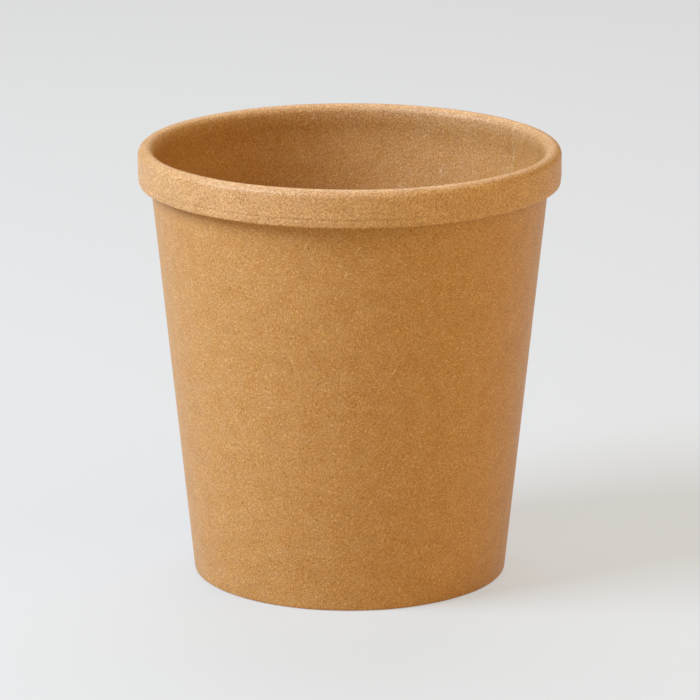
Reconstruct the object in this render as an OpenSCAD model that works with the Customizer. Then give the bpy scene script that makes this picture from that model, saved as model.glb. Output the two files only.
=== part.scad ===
// Soup container of kraft board, standing on its foot.
// The origin is on the axis, in the plane that the foot stands on, with +Z up and -Y to the front.

/* [Overall] */
// Outer diameter over the rolled rim
rim_d = 98; // [90:0.5:110]
// Height from the foot to the top of the rim
cup_h = 101.3; // [70:0.1:140]
// Outer diameter of the wall's cone in the plane of the foot
foot_d = 73.2; // [65:0.1:82]

/* [Board] */
// Thickness of the side wall's board
wall_t = 0.45; // [0.3:0.01:0.6]
// Thickness of the base's board
base_t = 0.4; // [0.3:0.01:0.6]
// Room for the sealing film on each side of the base's skirt
seal_gap = 0.03; // [0.02:0.01:0.06]

/* [Rolled rim] */
// Height of the rim
rim_h = 8.5; // [6:0.1:12]
// Width of the rim, from its inner face to its outer face
rim_w = 3.65; // [3:0.05:4.5]
// How far the rim stands out from the wall under it
rim_overhang = 2.92; // [2.5:0.01:3.4]
// Height over which the wall leans in again inside the rim, before it stands upright
lean_h = 3; // [1:0.1:4]
// Height of the strip under the crease in the rim's outer face
crease_h = 2; // [1:0.1:3]
// How far that strip leans in at the bottom
crease_in = 0.15; // [0:0.01:0.3]
// Gap between the wall and the board's edge, which is rolled in under the rim
edge_gap = 0.12; // [0.08:0.01:0.2]
// Height to which the rolled-in edge stands inside the rim
edge_h = 3.2; // [2:0.1:4]

/* [Base] */
// Height of the base's underside above the foot
base_z = 7; // [5:0.1:12]
// Inside radius of the bend from the base's disc to its skirt
skirt_in_r = 0.4; // [0.2:0.05:0.8]
// Gap between the skirt's lower edge and the fold of the wall under it
skirt_gap = 0.2; // [0.15:0.01:0.5]
// Height of the hem, which is turned up inside the skirt
hem_h = 6; // [3:0.1:6.2]

/* [Side seam] */
// Direction of the seam's inner cut edge, counted from +X towards +Y
seam_dir = 32; // [0:1:180]
// Width of the overlap of the two cut edges, measured under the rim
lap_w = 7; // [5:0.5:10]
// Width over which the upper layer comes down to the round again
ramp_w = 8; // [6:0.5:12]

/* [Hidden] */
$fn = 180;

rim_r = rim_d / 2;
foot_r = foot_d / 2;
roll_r = rim_w / 2;
roll_z = cup_h - roll_r;
neck_z = cup_h - rim_h;
neck_r = rim_r - rim_overhang;
rim_in_r = rim_r - rim_w;
lean_z = neck_z + lean_h;
crease_z = neck_z + crease_h;
lip_r = rim_r - crease_in;
edge_r = neck_r + edge_gap;
edge_z = neck_z + edge_h;

// The wall is a cone, and a board that lies along it is wider when measured level
draft = atan((neck_r - foot_r) / neck_z);
wall_w = wall_t / cos(draft);
base_w = base_t / cos(draft);
seal_w = seal_gap / cos(draft);
foot_w = 2 * (wall_w + seal_w) + base_w;

// The upper layer of the seam follows the wall's own round, moved sideways so that it has
// climbed one board when it reaches the lap. The second term makes up for the round's curve.
lap_turn = lap_w / neck_r * 180 / PI;
ramp_turn = ramp_w / neck_r * 180 / PI;
first_shift = wall_w / sin(ramp_turn);
ramp_shift = (wall_w + first_shift * first_shift / (2 * neck_r)) / sin(ramp_turn);

function wall_r(z) = foot_r + z * tan(draft);
function skirt_r(z) = wall_r(z) - wall_w - seal_w;
function unit(v) = v / norm(v);

// What a rounding of radius r takes off a corner, and a little beyond it. The circle is a hair
// larger than r, so that it crosses both sides of the corner and doesn't just touch them.
module corner_piece(before, corner, after, r) {
    u = unit(before - corner);
    v = unit(after - corner);
    half = acos(u * v) / 2;
    centre = corner + r / sin(half) * unit(u + v);
    tangent = r / tan(half);
    points = [corner + tangent * u, corner, corner + tangent * v];
    difference() {
        polygon(concat([centre], [for (p = points) centre + 1.1 * (p - centre)]));
        translate(centre)
            circle(1.002 * r);
    }
}

// The board from its hem over the foot, up the wall and round the rim to its rolled-in edge.
// The tight folds at the foot and under the rim are pressed sharp, so they have a radius of one
// board outside.
module wall_profile() {
    hem_in = foot_r - foot_w;
    foot_in = [hem_in, 0];
    foot_out = [foot_r, 0];
    neck = [neck_r, neck_z];
    lip = [lip_r, neck_z];
    crease = [rim_r, crease_z];
    hem_top = [wall_r(hem_h) - foot_w, hem_h];
    rolled_edge = [edge_r, neck_z];
    difference() {
        union() {
            polygon([
                foot_out, neck, lip, crease,
                [rim_r, roll_z],
                [rim_in_r, roll_z],
                [rim_in_r, lean_z],
                [neck_r - wall_w, neck_z],
                [wall_r(wall_t) - wall_w, wall_t],
                [wall_r(wall_t) - foot_w + wall_w, wall_t],
                hem_top + [wall_w, 0],
                hem_top, foot_in
            ]);
            translate([rim_r - roll_r, roll_z])
                circle(roll_r);
        }
        translate([rim_r - roll_r, roll_z])
            circle(roll_r - wall_t);
        polygon([
            [rim_in_r + wall_t, roll_z],
            [rim_r - wall_t, roll_z],
            [rim_r - wall_t, crease_z],
            [lip_r - wall_t, neck_z + wall_t],
            [edge_r + wall_t, neck_z + wall_t],
            [edge_r + wall_t, edge_z],
            [edge_r, edge_z],
            [edge_r, neck_z - wall_t],
            [neck_r, neck_z - wall_t],
            neck,
            [rim_in_r + wall_t, lean_z]
        ]);
        corner_piece(foot_in, foot_out, neck, wall_t);
        corner_piece(hem_top, foot_in, foot_out, wall_t);
        corner_piece(crease, lip, neck, wall_t);
        corner_piece(lip, rolled_edge, [edge_r, edge_z], wall_t);
    }
}

// What a profile sweeps from one direction to another
module sweep(from, to) {
    rotate([0, 0, from])
        rotate_extrude(angle = to - from)
            children();
}

module to_ramp() {
    translate(ramp_shift * [cos(seam_dir + ramp_turn - 90), sin(seam_dir + ramp_turn - 90), 0])
        rotate_extrude()
            children();
}

// The upper layer of the side seam, from its outer cut edge over the lap and down the ramp.
// Under the rim it is pressed against the rolled-in edge.
module seam_outside() {
    z = [wall_t, neck_z + wall_t];
    block_z = edge_z - wall_t;
    sweep(seam_dir - lap_turn, seam_dir)
        polygon([
            [wall_r(z[0]) - wall_w / 2, z[0]],
            [wall_r(z[0]) + wall_w, z[0]],
            [wall_r(z[1]) + wall_w, z[1]],
            [wall_r(z[1]) - wall_w / 2, z[1]]
        ]);
    intersection() {
        sweep(seam_dir, seam_dir + ramp_turn)
            polygon([
                [wall_r(z[0]) - wall_w / 2, z[0]],
                [wall_r(z[0]) + 2 * wall_w, z[0]],
                [wall_r(z[1]) + 2 * wall_w, z[1]],
                [wall_r(z[1]) - wall_w / 2, z[1]]
            ]);
        to_ramp()
            polygon([[0, z[0]], [wall_r(z[0]), z[0]], [wall_r(z[1]), z[1]], [0, z[1]]]);
    }
    sweep(seam_dir - lap_turn, seam_dir + ramp_turn)
        polygon([
            [neck_r - wall_w / 2, neck_z],
            [edge_r + wall_t / 2, neck_z],
            [edge_r + wall_t / 2, block_z],
            [rim_in_r + wall_t / 2, block_z]
        ]);
}

// The step inside the seam, beyond the lower layer's cut edge. It fades out inside the rim.
module seam_inside() {
    intersection() {
        sweep(seam_dir, seam_dir + ramp_turn)
            translate([0, base_z])
                square([neck_r + wall_w, edge_z - base_z]);
        to_ramp()
            polygon([
                [0, base_z],
                [wall_r(base_z) - wall_w, base_z],
                [neck_r - wall_w, neck_z],
                [rim_in_r - 1.5 * wall_t, edge_z],
                [0, edge_z]
            ]);
    }
}

module side_wall() {
    color("#bf9260")
        difference() {
            union() {
                rotate_extrude()
                    wall_profile();
                seam_outside();
            }
            seam_inside();
        }
}

// The base: a flat disc whose edge is turned down as a skirt along the inside of the wall
module base() {
    top_z = base_z + base_t;
    skirt_z = wall_t + skirt_gap;
    outer = [skirt_r(top_z), top_z];
    inner = [skirt_r(base_z) - base_w, base_z];
    skirt_foot = [skirt_r(skirt_z), skirt_z];
    skirt_in = [skirt_r(0) - base_w, 0];
    color("#b58753")
        rotate_extrude()
            difference() {
                polygon([[0, skirt_z], skirt_foot, outer, [0, top_z]]);
                corner_piece([0, top_z], outer, skirt_foot, skirt_in_r + base_t);
                difference() {
                    polygon([[0, 0], skirt_in, inner, [0, base_z]]);
                    corner_piece([0, base_z], inner, skirt_in, skirt_in_r);
                }
            }
}

side_wall();
base();
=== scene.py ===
"""A kraft board soup container, standing open on a pale floor. All lengths are in metres."""

import math

import bpy
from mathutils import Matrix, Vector


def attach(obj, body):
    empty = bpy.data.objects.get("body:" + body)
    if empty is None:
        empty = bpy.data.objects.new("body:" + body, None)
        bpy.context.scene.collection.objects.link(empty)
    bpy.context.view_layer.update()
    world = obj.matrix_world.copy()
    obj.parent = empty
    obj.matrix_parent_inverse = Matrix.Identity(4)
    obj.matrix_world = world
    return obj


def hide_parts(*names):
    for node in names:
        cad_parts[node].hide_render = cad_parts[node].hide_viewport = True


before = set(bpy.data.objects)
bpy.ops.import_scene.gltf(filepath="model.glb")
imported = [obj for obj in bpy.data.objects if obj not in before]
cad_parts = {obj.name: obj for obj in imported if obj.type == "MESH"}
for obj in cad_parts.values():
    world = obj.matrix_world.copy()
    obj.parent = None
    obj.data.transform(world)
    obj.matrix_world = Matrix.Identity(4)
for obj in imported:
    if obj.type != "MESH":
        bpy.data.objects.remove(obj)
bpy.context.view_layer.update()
bpy.ops.object.select_all(action="DESELECT")

# SIDE WALL
# An arc-shaped blank of kraft board, wound into a cone and sealed where its two cut edges lap.
# Its top edge is rolled outwards into the rim, so the rim shows the film-coated inner face.
# Its bottom edge is folded in and up as a hem, which holds the base.
MM = 0.001
board_t = 0.45 * MM
fold_r = 0.3 * MM

# The cone from the foot to the neck under the rim. It widens by cone_slope for each unit of height, and
# then bends to lean in a little until it stands upright at lean_z.
cone_slope = 0.10216
foot_r = 36.6 * MM
neck_r = 46.08 * MM
neck_z = 92.8 * MM
neck_start_z = 91.0 * MM
neck_bend_r = 28 * MM
neck_lean_deg = 3.3
lean_z = 97.4 * MM

# The rim, the crease in its outer face, and the board's edge, which is rolled in under it
rim_r = 49.0 * MM
rim_w = 3.65 * MM
rim_top_z = 101.3 * MM
crease_z = 94.9 * MM
crease_in = 0.1 * MM
crease_half_h = 0.15 * MM
lip_in = 0.15 * MM
edge_r = 46.2 * MM
edge_z = 96.0 * MM

# The hem. hem_gap is from the wall's outer face to the hem's inner face, with the base's skirt in between.
hem_z = 6.0 * MM
hem_gap = 1.367 * MM

# The side seam: where its inner cut edge is, from +X towards +Y, and its lap of 7 mm and ramp of 8 mm
seam_deg = 32.0
lap_deg = 8.704
ramp_deg = 9.947

# The board's thickness measured level, and the path of the board's middle round the rim
level_t = board_t * math.hypot(1, cone_slope)
roll_r = (rim_w - board_t) / 2
roll_z = rim_top_z - rim_w / 2
inner_x = rim_r - rim_w + board_t / 2
outer_x = rim_r - board_t / 2
lean = math.atan(cone_slope)
lean_deg = math.degrees(lean)


def start_profile(name, x, z):
    """Adds a plane and merges it to the one point from which the profile is drawn."""
    bpy.ops.object.select_all(action="DESELECT")
    bpy.ops.mesh.primitive_plane_add(size=board_t, location=(x, 0, z))
    bpy.ops.object.transform_apply(location=True)
    bpy.context.object.name = name
    bpy.ops.object.mode_set(mode="EDIT")
    bpy.ops.mesh.merge(type="CENTER")
    bpy.ops.object.mode_set(mode="OBJECT")
    return bpy.context.object


def draw_to(x, z, step):
    """Extrudes the selected end of the profile straight to x, z, in steps of about the size given."""
    here = next(v.co for v in bpy.context.object.data.vertices if v.select)
    dx, dz = x - here.x, z - here.z
    count = max(1, round(math.hypot(dx, dz) / step))
    bpy.ops.object.mode_set(mode="EDIT")
    for _ in range(count):
        bpy.ops.mesh.extrude_region_move(TRANSFORM_OT_translate={"value": (dx / count, 0, dz / count)})
    bpy.ops.object.mode_set(mode="OBJECT")


def bend(radius, start_deg, turn_deg, steps):
    """Spins the selected end of the profile round a bend. start_deg is the way the board runs, from +X
    towards +Z, and a positive turn is to the left of it."""
    here = next(v.co for v in bpy.context.object.data.vertices if v.select)
    side = math.copysign(1, turn_deg)
    way = math.radians(start_deg)
    centre = (here.x - side * radius * math.sin(way), 0, here.z + side * radius * math.cos(way))
    bpy.ops.object.mode_set(mode="EDIT")
    bpy.ops.mesh.spin(steps=steps, angle=math.radians(turn_deg), center=centre, axis=(0, 1, 0))
    bpy.ops.object.mode_set(mode="OBJECT")


# The hem, from its upper edge down, and the fold at the foot
hem_x = foot_r - hem_gap + level_t / 2
side_wall = start_profile("wound_side_wall", hem_x + hem_z * cone_slope, hem_z)
fold_z = board_t / 2 + fold_r * (1 + math.sin(lean))
draw_to(hem_x + fold_z * cone_slope, fold_z, 1.5 * MM)
bend(fold_r, 270 - lean_deg, 90 + lean_deg, 5)
fold_z = board_t / 2 + fold_r * (1 - math.sin(lean))
draw_to(foot_r - level_t / 2 + fold_z * cone_slope - fold_r * math.cos(lean), board_t / 2, 0.3 * MM)
foot_fold_row = len(side_wall.data.vertices) - 1
bend(fold_r, 0, 90 - lean_deg, 5)

# The wall, up to the rim's roll. At neck_row the seam's step starts to fade, and from roll_row on the board
# is stretched to the full and painted paler in full, which is partly painted light.
draw_to(neck_r - level_t / 2 - (neck_z - neck_start_z) * cone_slope, neck_start_z, 1.7 * MM)
bend(neck_bend_r, 90 - lean_deg, lean_deg + neck_lean_deg, 6)
neck_row = len(side_wall.data.vertices) - 4
roll_row = neck_row + 12
draw_to(inner_x, lean_z, 0.9 * MM)
draw_to(inner_x, roll_z, 0.9 * MM)

# Round the rim and down its outer face, which swells a little above and below the crease
bend(roll_r, 90, -180, 18)
draw_to(outer_x, crease_z + 0.35 * MM, 0.9 * MM)
draw_to(outer_x + 0.02 * MM, crease_z + crease_half_h, 0.2 * MM)
draw_to(outer_x - crease_in, crease_z - crease_half_h, 0.1 * MM)
draw_to(outer_x - crease_in + 0.04 * MM, crease_z - 0.7 * MM, 0.3 * MM)
draw_to(outer_x - lip_in, neck_z + board_t / 2 + fold_r, 0.5 * MM)

# In under the rim and up along the wall
bend(fold_r, 270, -90, 5)
draw_to(edge_r + board_t / 2 + fold_r, neck_z + board_t / 2, 0.6 * MM)
bend(fold_r, 180, -90, 5)
draw_to(edge_r + board_t / 2, edge_z, 0.8 * MM)


def measured_profile(piece):
    """The profile's points, and how far along the board each of them lies."""
    rows = [(v.co.x, v.co.z) for v in piece.data.vertices]
    along = [0.0]
    for (x0, z0), (x1, z1) in zip(rows, rows[1:]):
        along.append(along[-1] + math.hypot(x1 - x0, z1 - z0))
    return rows, along


def nearest_row(rows, r, z):
    """The point of the profile that a vertex at radius r and height z was spun from."""
    return min(range(len(rows)), key=lambda i: (rows[i][0] - r) ** 2 + (rows[i][1] - z) ** 2)


# The profile is wound round the axis once and a little further, so that the two cut edges lap. What was
# wound first is the upper layer, which comes down to the round again over the ramp.
rows, along = measured_profile(side_wall)
bpy.ops.object.mode_set(mode="EDIT")
bpy.ops.mesh.select_all(action="SELECT")
for turn_deg, steps in ((lap_deg, 8), (ramp_deg, 12), (360 - lap_deg - ramp_deg, 270), (lap_deg, 8)):
    bpy.ops.mesh.spin(steps=steps, angle=-math.radians(turn_deg), center=(0, 0, 0), axis=(0, 0, 1))
bpy.ops.mesh.select_all(action="SELECT")
bpy.ops.mesh.normals_make_consistent(inside=False)
bpy.ops.object.mode_set(mode="OBJECT")


def wound_places(mesh, rows):
    """For each corner of each face: how far round it is wound, in radians, its row and its vertex."""
    places = []
    nearest = {}
    for face in mesh.polygons:
        middle = math.atan2(face.center.y, face.center.x) % math.tau
        if face.index > len(mesh.polygons) / 2 and middle < math.radians(lap_deg):
            middle += math.tau
        for corner in face.vertices:
            x, y, z = mesh.vertices[corner].co
            turn = math.atan2(y, x)
            turn += math.tau * round((middle - turn) / math.tau)
            if corner not in nearest:
                nearest[corner] = nearest_row(rows, math.hypot(x, y), z)
            places.append((turn, nearest[corner], corner))
    return places


places = wound_places(side_wall.data, rows)

# The flat blank's own coordinates, in millimetres, so that the fibres lie as they do in the sheet
apex = (foot_r - level_t / 2) / math.sin(lean)
foot_row = next(i for i, (x, z) in enumerate(rows) if i > foot_fold_row and z > 2 * fold_r)
blank = side_wall.data.uv_layers.new(name="blank")
for loop, (turn, row, corner) in zip(blank.data, places):
    rho = (apex + along[row] - along[foot_row]) / MM
    loop.uv = (rho * math.cos(turn * math.sin(lean)) - apex / MM, rho * math.sin(turn * math.sin(lean)))


def smooth(value):
    """Runs from 0 to 1 with a soft start and end."""
    value = min(max(value, 0), 1)
    return value * value * (3 - 2 * value)


# The upper layer stands one board proud of the lower one, but is pressed nearly flat at the foot and in the
# rim, where only these shares of the step are left
foot_share = 0.04
rim_share = 0.15
pressed_z = 0.8 * MM
step_fade = 2.5 * MM
upper_layer = side_wall.vertex_groups.new(name="upper_layer")
for turn, row, corner in places:
    down = 1 - smooth((math.degrees(turn) - lap_deg) / ramp_deg)
    if row <= neck_row:
        height = foot_share + (1 - foot_share) * smooth((rows[row][1] - pressed_z) / step_fade)
    else:
        height = rim_share + (1 - rim_share) * (1 - smooth((along[row] - along[neck_row]) / step_fade))
    if math.degrees(turn) < lap_deg + ramp_deg:
        upper_layer.add([corner], down * height, "REPLACE")

# For the finish: how far the board is stretched by the rolling of the rim, which starts inside it.
# The same share paints the roll and the inside's top paler, which is partly a painted highlight.
stretch_and_light_z = 97 * MM
stretch_and_light_fade = 3.5 * MM
stretch_and_painted_light = side_wall.data.attributes.new("stretch_and_painted_light", "FLOAT", "POINT")
for turn, row, corner in places:
    share = smooth((rows[row][1] - stretch_and_light_z) / stretch_and_light_fade)
    stretch_and_painted_light.data[corner].value = share if row <= roll_row else 1

# For the finish: where the two cut edges are, which are the first and the last column of vertices
half_wound = math.radians(180 + lap_deg / 2)
edge_reach = math.radians(0.1)
cut_edge = side_wall.data.attributes.new("cut_edge", "FLOAT", "POINT")
for turn, row, corner in places:
    cut_edge.data[corner].value = float(abs(turn - half_wound) > half_wound - edge_reach)


def apply_modifier(piece, kind, settings):
    """Adds a modifier with its settings and applies it."""
    modifier = piece.modifiers.new(kind.lower(), kind)
    for name, value in settings.items():
        setattr(modifier, name, value)
    bpy.context.view_layer.objects.active = piece
    bpy.ops.object.modifier_apply(modifier=modifier.name)


def wave_and_thicken(piece, waviness, thickness):
    """Gives the sheet the faint waves that board has, and its thickness. Its inside keeps the first
    material, and its outside and cut edges get the second."""
    apply_modifier(piece, "DISPLACE", {
        "strength": waviness, "mid_level": 0.5, "direction": "NORMAL",
        "texture": board_waves, "texture_coords": "LOCAL"})
    apply_modifier(piece, "SOLIDIFY", {
        "thickness": thickness, "offset": 0, "use_even_offset": True,
        "material_offset": 1, "material_offset_rim": 1})


board_waves = bpy.data.textures.new("board_waves", "CLOUDS")
board_waves.noise_scale = 14 * MM

# The upper layer is lifted a hair more than one board, so that the two layers don't cut into each other
apply_modifier(side_wall, "DISPLACE", {
    "strength": -1.03 * board_t, "mid_level": 0, "direction": "NORMAL", "vertex_group": "upper_layer"})
wave_and_thicken(side_wall, 0.12 * MM, board_t)
side_wall.rotation_euler.z = math.radians(seam_deg - lap_deg)
bpy.ops.object.transform_apply(rotation=True)
bpy.ops.object.shade_smooth_by_angle(angle=math.radians(40))


def linear(hex_code):
    """Turns an sRGB hex colour into linear RGBA."""
    values = [int(hex_code[i:i + 2], 16) / 255 for i in (1, 3, 5)]
    return [v / 12.92 if v <= 0.04045 else ((v + 0.055) / 1.055) ** 2.4 for v in values] + [1.0]


def add_node(tree, kind, settings=(), links=()):
    """Adds a node. Settings are its own properties or its inputs' values, and links are input to output."""
    node = tree.nodes.new(kind)
    for key, value in dict(settings).items():
        if isinstance(key, str) and key in node.bl_rna.properties:
            setattr(node, key, value)
        else:
            node.inputs[key].default_value = value
    for key, output in dict(links).items():
        tree.links.new(output, node.inputs[key])
    return node


def turned_patches(tree, place, patch_mm):
    """Splits the sheet into patches, each turned its own way. Gives the turned place, the patch's middle
    and a chance from 0 to 1 for each patch."""
    patch = add_node(tree, "ShaderNodeTexVoronoi", {"voronoi_dimensions": "2D", "Scale": 1 / patch_mm},
                     {"Vector": place})
    chances = add_node(tree, "ShaderNodeSeparateColor", {}, {"Color": patch.outputs["Color"]})
    angle = add_node(tree, "ShaderNodeMath", {"operation": "MULTIPLY", 1: math.pi},
                     {0: chances.outputs["Red"]})
    turned = add_node(tree, "ShaderNodeVectorRotate", {"rotation_type": "Z_AXIS"}, {
        "Vector": place, "Center": patch.outputs["Position"], "Angle": angle.outputs["Value"]})
    return turned.outputs["Vector"], patch.outputs["Position"], chances.outputs["Green"]


def felted_fibres(tree, curled, fineness):
    """Three layers of patches of 1 to 1.6 mm, each patch with strokes in its own direction, about 0.15 mm
    wide and 0.6 mm long. A fibre is only 0.03 mm wide, so a stroke stands for a bundle of them."""
    layers = []
    for turn, patch_mm, shift in ((0.3, 1.2, 0), (1.1, 1.6, 31), (2.2, 1.0, 67)):
        place = add_node(tree, "ShaderNodeMapping", {
            "Rotation": (0, 0, turn), "Location": (shift, shift, 0), "Scale": (fineness, fineness, 1)},
            {"Vector": curled})
        turned, _, _ = turned_patches(tree, place.outputs["Vector"], patch_mm)
        lengthened = add_node(tree, "ShaderNodeMapping", {"Scale": (1.8, 6.6, 1)}, {"Vector": turned})
        strokes = add_node(tree, "ShaderNodeTexNoise", {"noise_dimensions": "2D", "Scale": 1, "Detail": 1},
                           {"Vector": lengthened.outputs["Vector"]})
        layers.append(strokes.outputs["Fac"])
    lower = add_node(tree, "ShaderNodeMath", {"operation": "ADD"}, {0: layers[0], 1: layers[1]})
    felt = add_node(tree, "ShaderNodeMath", {"operation": "ADD"}, {0: layers[2], 1: lower.outputs["Value"]})
    felt = add_node(tree, "ShaderNodeMapRange", {"From Min": 1.05, "From Max": 1.95},
                    {"Value": felt.outputs["Value"]})
    return felt.outputs["Result"]


def pale_hairs(tree, curled):
    """One patch of 5 mm in five holds a bent hair, nearly 0.2 mm wide and up to 2 mm long."""
    turned, middle, chance = turned_patches(tree, curled, 5.0)
    from_middle = add_node(tree, "ShaderNodeVectorMath", {"operation": "SUBTRACT"}, {0: turned, 1: middle})
    split = add_node(tree, "ShaderNodeSeparateXYZ", {}, {"Vector": from_middle.outputs["Vector"]})
    squared = add_node(tree, "ShaderNodeMath", {"operation": "MULTIPLY"},
                       {0: split.outputs["X"], 1: split.outputs["X"]})
    bow = add_node(tree, "ShaderNodeMath", {"operation": "MULTIPLY_ADD", 1: 0.22},
                   {0: squared.outputs["Value"], 2: split.outputs["Y"]})
    across = add_node(tree, "ShaderNodeMath", {"operation": "ABSOLUTE"}, {0: bow.outputs["Value"]})
    across = add_node(tree, "ShaderNodeMapRange", {
        "From Min": 0.04, "From Max": 0.13, "To Min": 1, "To Max": 0}, {"Value": across.outputs["Value"]})
    lengthwise = add_node(tree, "ShaderNodeMapRange", {
        "From Min": 0.2, "From Max": 1.0, "To Min": 1, "To Max": 0}, {"Value": squared.outputs["Value"]})
    there = add_node(tree, "ShaderNodeMapRange", {"From Min": 0.8, "From Max": 1.0, "To Max": 0.55},
                     {"Value": chance})
    hair = add_node(tree, "ShaderNodeMath", {"operation": "MULTIPLY"},
                    {0: across.outputs["Result"], 1: lengthwise.outputs["Result"]})
    hair = add_node(tree, "ShaderNodeMath", {"operation": "MULTIPLY"},
                    {0: hair.outputs["Value"], 1: there.outputs["Result"]})
    return hair.outputs["Value"]


def bark_specks(tree, curled):
    """One patch of 3 mm in six holds a speck of up to 0.5 mm."""
    patch = add_node(tree, "ShaderNodeTexVoronoi", {"voronoi_dimensions": "2D", "Scale": 1 / 3.0},
                     {"Vector": curled})
    chance = add_node(tree, "ShaderNodeSeparateColor", {}, {"Color": patch.outputs["Color"]})
    size = add_node(tree, "ShaderNodeMapRange", {
        "From Min": 0.84, "From Max": 1, "To Min": 0.02, "To Max": 0.085}, {"Value": chance.outputs["Red"]})
    speck = add_node(tree, "ShaderNodeMath", {"operation": "SUBTRACT"},
                     {0: size.outputs["Result"], 1: patch.outputs["Distance"]})
    speck = add_node(tree, "ShaderNodeMapRange", {"From Min": -0.02, "From Max": 0.03, "To Max": 0.6},
                     {"Value": speck.outputs["Value"]})
    return speck.outputs["Result"]


def kraft_board(name, gap, body, fibre, fineness, grain_depth, roughness, gloss):
    """Unbleached kraft board: short brown wood fibres felted in all directions, with a few pale hairs on top,
    dark specks of bark, and a faint cloudiness where the sheet formed thicker. Its three colours are the
    gaps between the fibres, the body, and the fibres on top. fineness scales the felt, grain_depth says how
    strongly the finest grain shows, and gloss how much the surface shines."""
    material = bpy.data.materials.new(name)
    material.use_nodes = True
    tree = material.node_tree
    tree.nodes.clear()
    sheet = add_node(tree, "ShaderNodeUVMap", {"uv_map": "blank"}).outputs["UV"]
    curl = add_node(tree, "ShaderNodeTexNoise", {"noise_dimensions": "2D", "Scale": 0.7, "Detail": 1},
                    {"Vector": sheet})
    curled = add_node(tree, "ShaderNodeVectorMath", {"operation": "MULTIPLY_ADD", 1: (0.9, 0.9, 0)},
                      {0: curl.outputs["Color"], 2: sheet}).outputs["Vector"]

    # The felt with its grain of 0.2 mm, which is one pixel of the render and as fine as it can show
    grain = add_node(tree, "ShaderNodeTexNoise", {"noise_dimensions": "2D", "Scale": 5.0, "Detail": 1},
                     {"Vector": sheet})
    grain = add_node(tree, "ShaderNodeMath", {
        "operation": "MULTIPLY_ADD", 1: grain_depth, 2: -grain_depth / 2}, {0: grain.outputs["Fac"]})
    felt = add_node(tree, "ShaderNodeMath", {"operation": "ADD"},
                    {0: felted_fibres(tree, curled, fineness), 1: grain.outputs["Value"]})

    # Clouds of 8 mm and a mottle of 4 mm
    tone = felt
    for scale, detail, amount in ((0.12, 3, 0.16), (0.28, 0, 0.14)):
        cloud = add_node(tree, "ShaderNodeTexNoise", {
            "noise_dimensions": "2D", "Scale": scale, "Detail": detail}, {"Vector": sheet})
        cloud = add_node(tree, "ShaderNodeMath", {
            "operation": "MULTIPLY_ADD", 1: amount, 2: -amount / 2}, {0: cloud.outputs["Fac"]})
        tone = add_node(tree, "ShaderNodeMath", {"operation": "ADD"},
                        {0: tone.outputs["Value"], 1: cloud.outputs["Value"]})

    # Where the rim was rolled, the stretched fibres stand out more, and the board is painted a little paler,
    # which is partly painted light: a painted highlight on the roll and its inner top.
    stretch_and_light = add_node(tree, "ShaderNodeAttribute", {"attribute_name": "stretch_and_painted_light"})
    contrast = add_node(tree, "ShaderNodeMath", {"operation": "MULTIPLY_ADD", 1: 1.3, 2: 1.0},
                        {0: stretch_and_light.outputs["Fac"]})
    tone = add_node(tree, "ShaderNodeMath", {"operation": "SUBTRACT", 1: 0.5}, {0: tone.outputs["Value"]})
    tone = add_node(tree, "ShaderNodeMath", {"operation": "MULTIPLY_ADD", 2: 0.5},
                    {0: tone.outputs["Value"], 1: contrast.outputs["Value"]})
    # Painted highlight, in part: the roll and the top of the inside are mixed towards a pale colour.
    paler_and_painted_light = add_node(tree, "ShaderNodeMath", {"operation": "MULTIPLY", 1: 0.1}, {0: stretch_and_light.outputs["Fac"]})
    colour = add_node(tree, "ShaderNodeValToRGB", {}, {"Fac": tone.outputs["Value"]})
    ramp = colour.color_ramp
    ramp.elements[0].color = linear(gap)
    ramp.elements[1].color = linear(fibre)
    ramp.elements.new(0.5).color = linear(body)

    # In cloudy patches of 4 mm the fibres are greyer, where less lignin is left in them
    grey = add_node(tree, "ShaderNodeTexNoise", {
        "noise_dimensions": "2D", "Scale": 0.26, "Detail": 3, "Roughness": 0.65}, {"Vector": curled})
    grey = add_node(tree, "ShaderNodeMapRange", {"From Min": 0.38, "From Max": 0.66, "To Max": 0.28},
                    {"Value": grey.outputs["Fac"]})
    colour = add_node(tree, "ShaderNodeMix", {
        "data_type": "RGBA", "blend_type": "COLOR", 7: linear("#cfa67e")},
        {0: grey.outputs["Result"], 6: colour.outputs["Color"]})

    # Along a cut edge the pressed fibres have frayed, which shows as a broken pale line 0.4 mm wide
    edge = add_node(tree, "ShaderNodeAttribute", {"attribute_name": "cut_edge"})
    edge = add_node(tree, "ShaderNodeMapRange", {"From Min": 0.45, "From Max": 0.9, "To Max": 0.42},
                    {"Value": edge.outputs["Fac"]})
    frayed = add_node(tree, "ShaderNodeMapRange", {"From Min": 0.2, "From Max": 0.7},
                      {"Value": felt.outputs["Value"]})
    edge = add_node(tree, "ShaderNodeMath", {"operation": "MULTIPLY"},
                    {0: edge.outputs["Result"], 1: frayed.outputs["Result"]})

    # What lies on the felt: pale hairs, specks of bark, the paler stretch, which is partly a painted
    # highlight, and the frayed edge
    for over, amount in (("#ecd2ab", pale_hairs(tree, curled)), ("#7a4f27", bark_specks(tree, curled)),
                         ("#ffe0c4", paler_and_painted_light.outputs["Value"]), ("#f3dcb8", edge.outputs["Value"])):
        colour = add_node(tree, "ShaderNodeMix", {"data_type": "RGBA", 7: linear(over)},
                          {0: amount, 6: colour.outputs[2]})

    bump = add_node(tree, "ShaderNodeBump", {"Strength": 1.0, "Distance": 0.04 * MM},
                    {"Height": felt.outputs["Value"]})
    surface = add_node(tree, "ShaderNodeBsdfPrincipled", {
        "Roughness": roughness, "IOR": 1.5, "Specular IOR Level": gloss},
        {"Base Color": colour.outputs[2], "Normal": bump.outputs["Normal"]})
    add_node(tree, "ShaderNodeOutputMaterial", {}, {"Surface": surface.outputs["BSDF"]})
    return material


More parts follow.
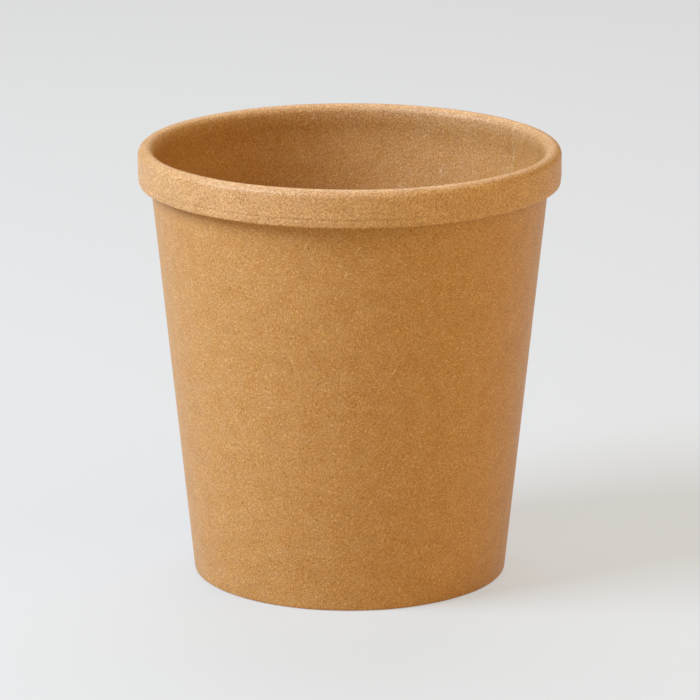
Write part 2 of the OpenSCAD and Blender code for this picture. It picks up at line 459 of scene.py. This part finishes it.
# A thin clear film is melted onto the side that holds the food. It darkens the fibres, blurs their finest
# grain and gives the inside and the rim a soft shine.
film_coated = kraft_board(
    "film_coated_kraft_board", gap="#a56f38", body="#bd894a", fibre="#d9af7f", fineness=0.8, grain_depth=0.6,
    roughness=0.4, gloss=0.35)
# The other side is bare board, which is paler, dry and matt, with its fibres and grain plain to see.
bare = kraft_board(
    "bare_kraft_board", gap="#bf8a4c", body="#dbad74", fibre="#f2d9bb", fineness=1.0, grain_depth=1.6,
    roughness=0.6, gloss=0.2)
side_wall.data.materials.append(film_coated)
side_wall.data.materials.append(bare)
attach(side_wall, "root")
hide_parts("side_wall")

# BASE
# A round disc of the same board, with its edge turned down as a skirt.
# The skirt is sealed between the wall and the hem, so the disc lies 7 mm above the foot.
base_t = 0.4 * MM
base_z = 7.0 * MM
seal_gap = 0.03 * MM
skirt_z = 0.65 * MM
skirt_bend_r = 0.6 * MM
disc_z = base_z + base_t / 2
skirt_r = foot_r - level_t - seal_gap - base_t / 2
skirt_top_x = skirt_r + (disc_z - skirt_bend_r) * cone_slope
base = start_profile("pressed_base", 0, disc_z)
draw_to(skirt_top_x - skirt_bend_r, disc_z, 2.2 * MM)
bend(skirt_bend_r, 0, -90 - lean_deg, 7)
draw_to(skirt_r + skirt_z * cone_slope, skirt_z, 1.2 * MM)
rows, along = measured_profile(base)
bpy.ops.object.mode_set(mode="EDIT")
bpy.ops.mesh.select_all(action="SELECT")
bpy.ops.mesh.spin(steps=160, angle=math.tau, center=(0, 0, 0), axis=(0, 0, 1))
bpy.ops.mesh.select_all(action="SELECT")
bpy.ops.mesh.remove_doubles(threshold=0.001 * MM)
bpy.ops.mesh.normals_make_consistent(inside=False)
bpy.ops.object.mode_set(mode="OBJECT")

# The flat disc's own coordinates, in millimetres. On the skirt they run on past the disc's edge.
least_r = 0.01 * MM
blank = base.data.uv_layers.new(name="blank")
for loop in base.data.loops:
    x, y, z = base.data.vertices[loop.vertex_index].co
    r = math.hypot(x, y)
    spread = along[nearest_row(rows, r, z)] / max(r, least_r) / MM
    blank.data[loop.index].uv = (x * spread, y * spread)
wave_and_thicken(base, 0.1 * MM, base_t)
bpy.ops.object.shade_smooth_by_angle(angle=math.radians(40))
base.data.materials.append(film_coated)
base.data.materials.append(bare)
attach(base, "root")
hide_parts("base")

# FLOOR
# A wide sheet of pale, matt paper that runs on behind the container as its background.
# The light that it throws back on the container is warmer than the paper itself looks.
bpy.ops.object.select_all(action="DESELECT")
bpy.ops.mesh.primitive_plane_add(size=6, location=(0, 0, -0.06 * MM))
floor = bpy.context.object
floor.name = "pale_paper_floor"
pale_paper = bpy.data.materials.new("pale_matt_paper")
pale_paper.use_nodes = True
tree = pale_paper.node_tree
tree.nodes.clear()
paper = add_node(tree, "ShaderNodeBsdfDiffuse", {"Color": linear("#c6cad2")})
glow = add_node(tree, "ShaderNodeEmission", {"Color": linear("#edecea"), "Strength": 1.0})
seen = add_node(tree, "ShaderNodeMixShader", {0: 0.55},
                {1: paper.outputs["BSDF"], 2: glow.outputs["Emission"]})
bounce = add_node(tree, "ShaderNodeBsdfDiffuse", {"Color": linear("#dbc490")})
path = add_node(tree, "ShaderNodeLightPath")
direct = path.outputs["Is Camera Ray"]
for ray in ("Is Glossy Ray", "Is Transmission Ray"):
    either = add_node(tree, "ShaderNodeMath", {"operation": "MAXIMUM"}, {0: direct, 1: path.outputs[ray]})
    direct = either.outputs["Value"]
surface = add_node(tree, "ShaderNodeMixShader", {},
                   {0: direct, 1: bounce.outputs["BSDF"], 2: seen.outputs["Shader"]})
add_node(tree, "ShaderNodeOutputMaterial", {}, {"Surface": surface.outputs["Shader"]})
floor.data.materials.append(pale_paper)

# LIGHT
# Four large soft boxes that point at the container: a key at the front left, a warm and weaker one that fills
# the right, one above the front, and one above the back. A faint fill comes from all round.
light_distance = 1.2
container_middle = Vector((0, 0, 0.05))
for name, azimuth_deg, elevation_deg, size, energy, colour in (
        ("key_soft_box", -68, 41, 0.6, 19.3, "#e6f4ff"),
        ("right_soft_box", 68, 23, 1.3, 7.9, "#ffde94"),
        ("front_top_soft_box", 0, 62, 0.8, 2.0, "#ffe4b5"),
        ("back_top_soft_box", 180, 55, 0.9, 6.5, "#ffffff")):
    azimuth, elevation = math.radians(azimuth_deg), math.radians(elevation_deg)
    level = light_distance * math.cos(elevation)
    height = light_distance * math.sin(elevation)
    place = Vector((level * math.sin(azimuth), -level * math.cos(azimuth), height))
    bpy.ops.object.light_add(type="AREA", location=place + container_middle,
                             rotation=place.to_track_quat("Z", "Y").to_euler())
    soft_box = bpy.context.object
    soft_box.name = name
    soft_box.data.shape = "SQUARE"
    soft_box.data.size = size
    soft_box.data.energy = energy
    soft_box.data.color = linear(colour)[:3]
world = bpy.data.worlds.new("even_fill")
bpy.context.scene.world = world
world.use_nodes = True
tree = world.node_tree
tree.nodes.clear()
fill = add_node(tree, "ShaderNodeBackground", {"Color": linear("#ffe4b5"), "Strength": 0.12})
add_node(tree, "ShaderNodeOutputWorld", {}, {"Surface": fill.outputs["Background"]})
bpy.context.scene.view_settings.view_transform = "Standard"

# CAMERA
# A long lens at the photograph's angle, looking down by about 15 degrees.
tilt_deg = 14.811
bpy.ops.object.camera_add(location=(0, -1.0218, 0.3224), rotation=(math.radians(90 - tilt_deg), 0, 0))
camera = bpy.context.object
camera.name = "camera"
camera.data.sensor_width = 36
camera.data.lens = 232.3
camera.data.shift_x = 0.00045
camera.data.clip_start = 0.01
bpy.context.scene.camera = camera
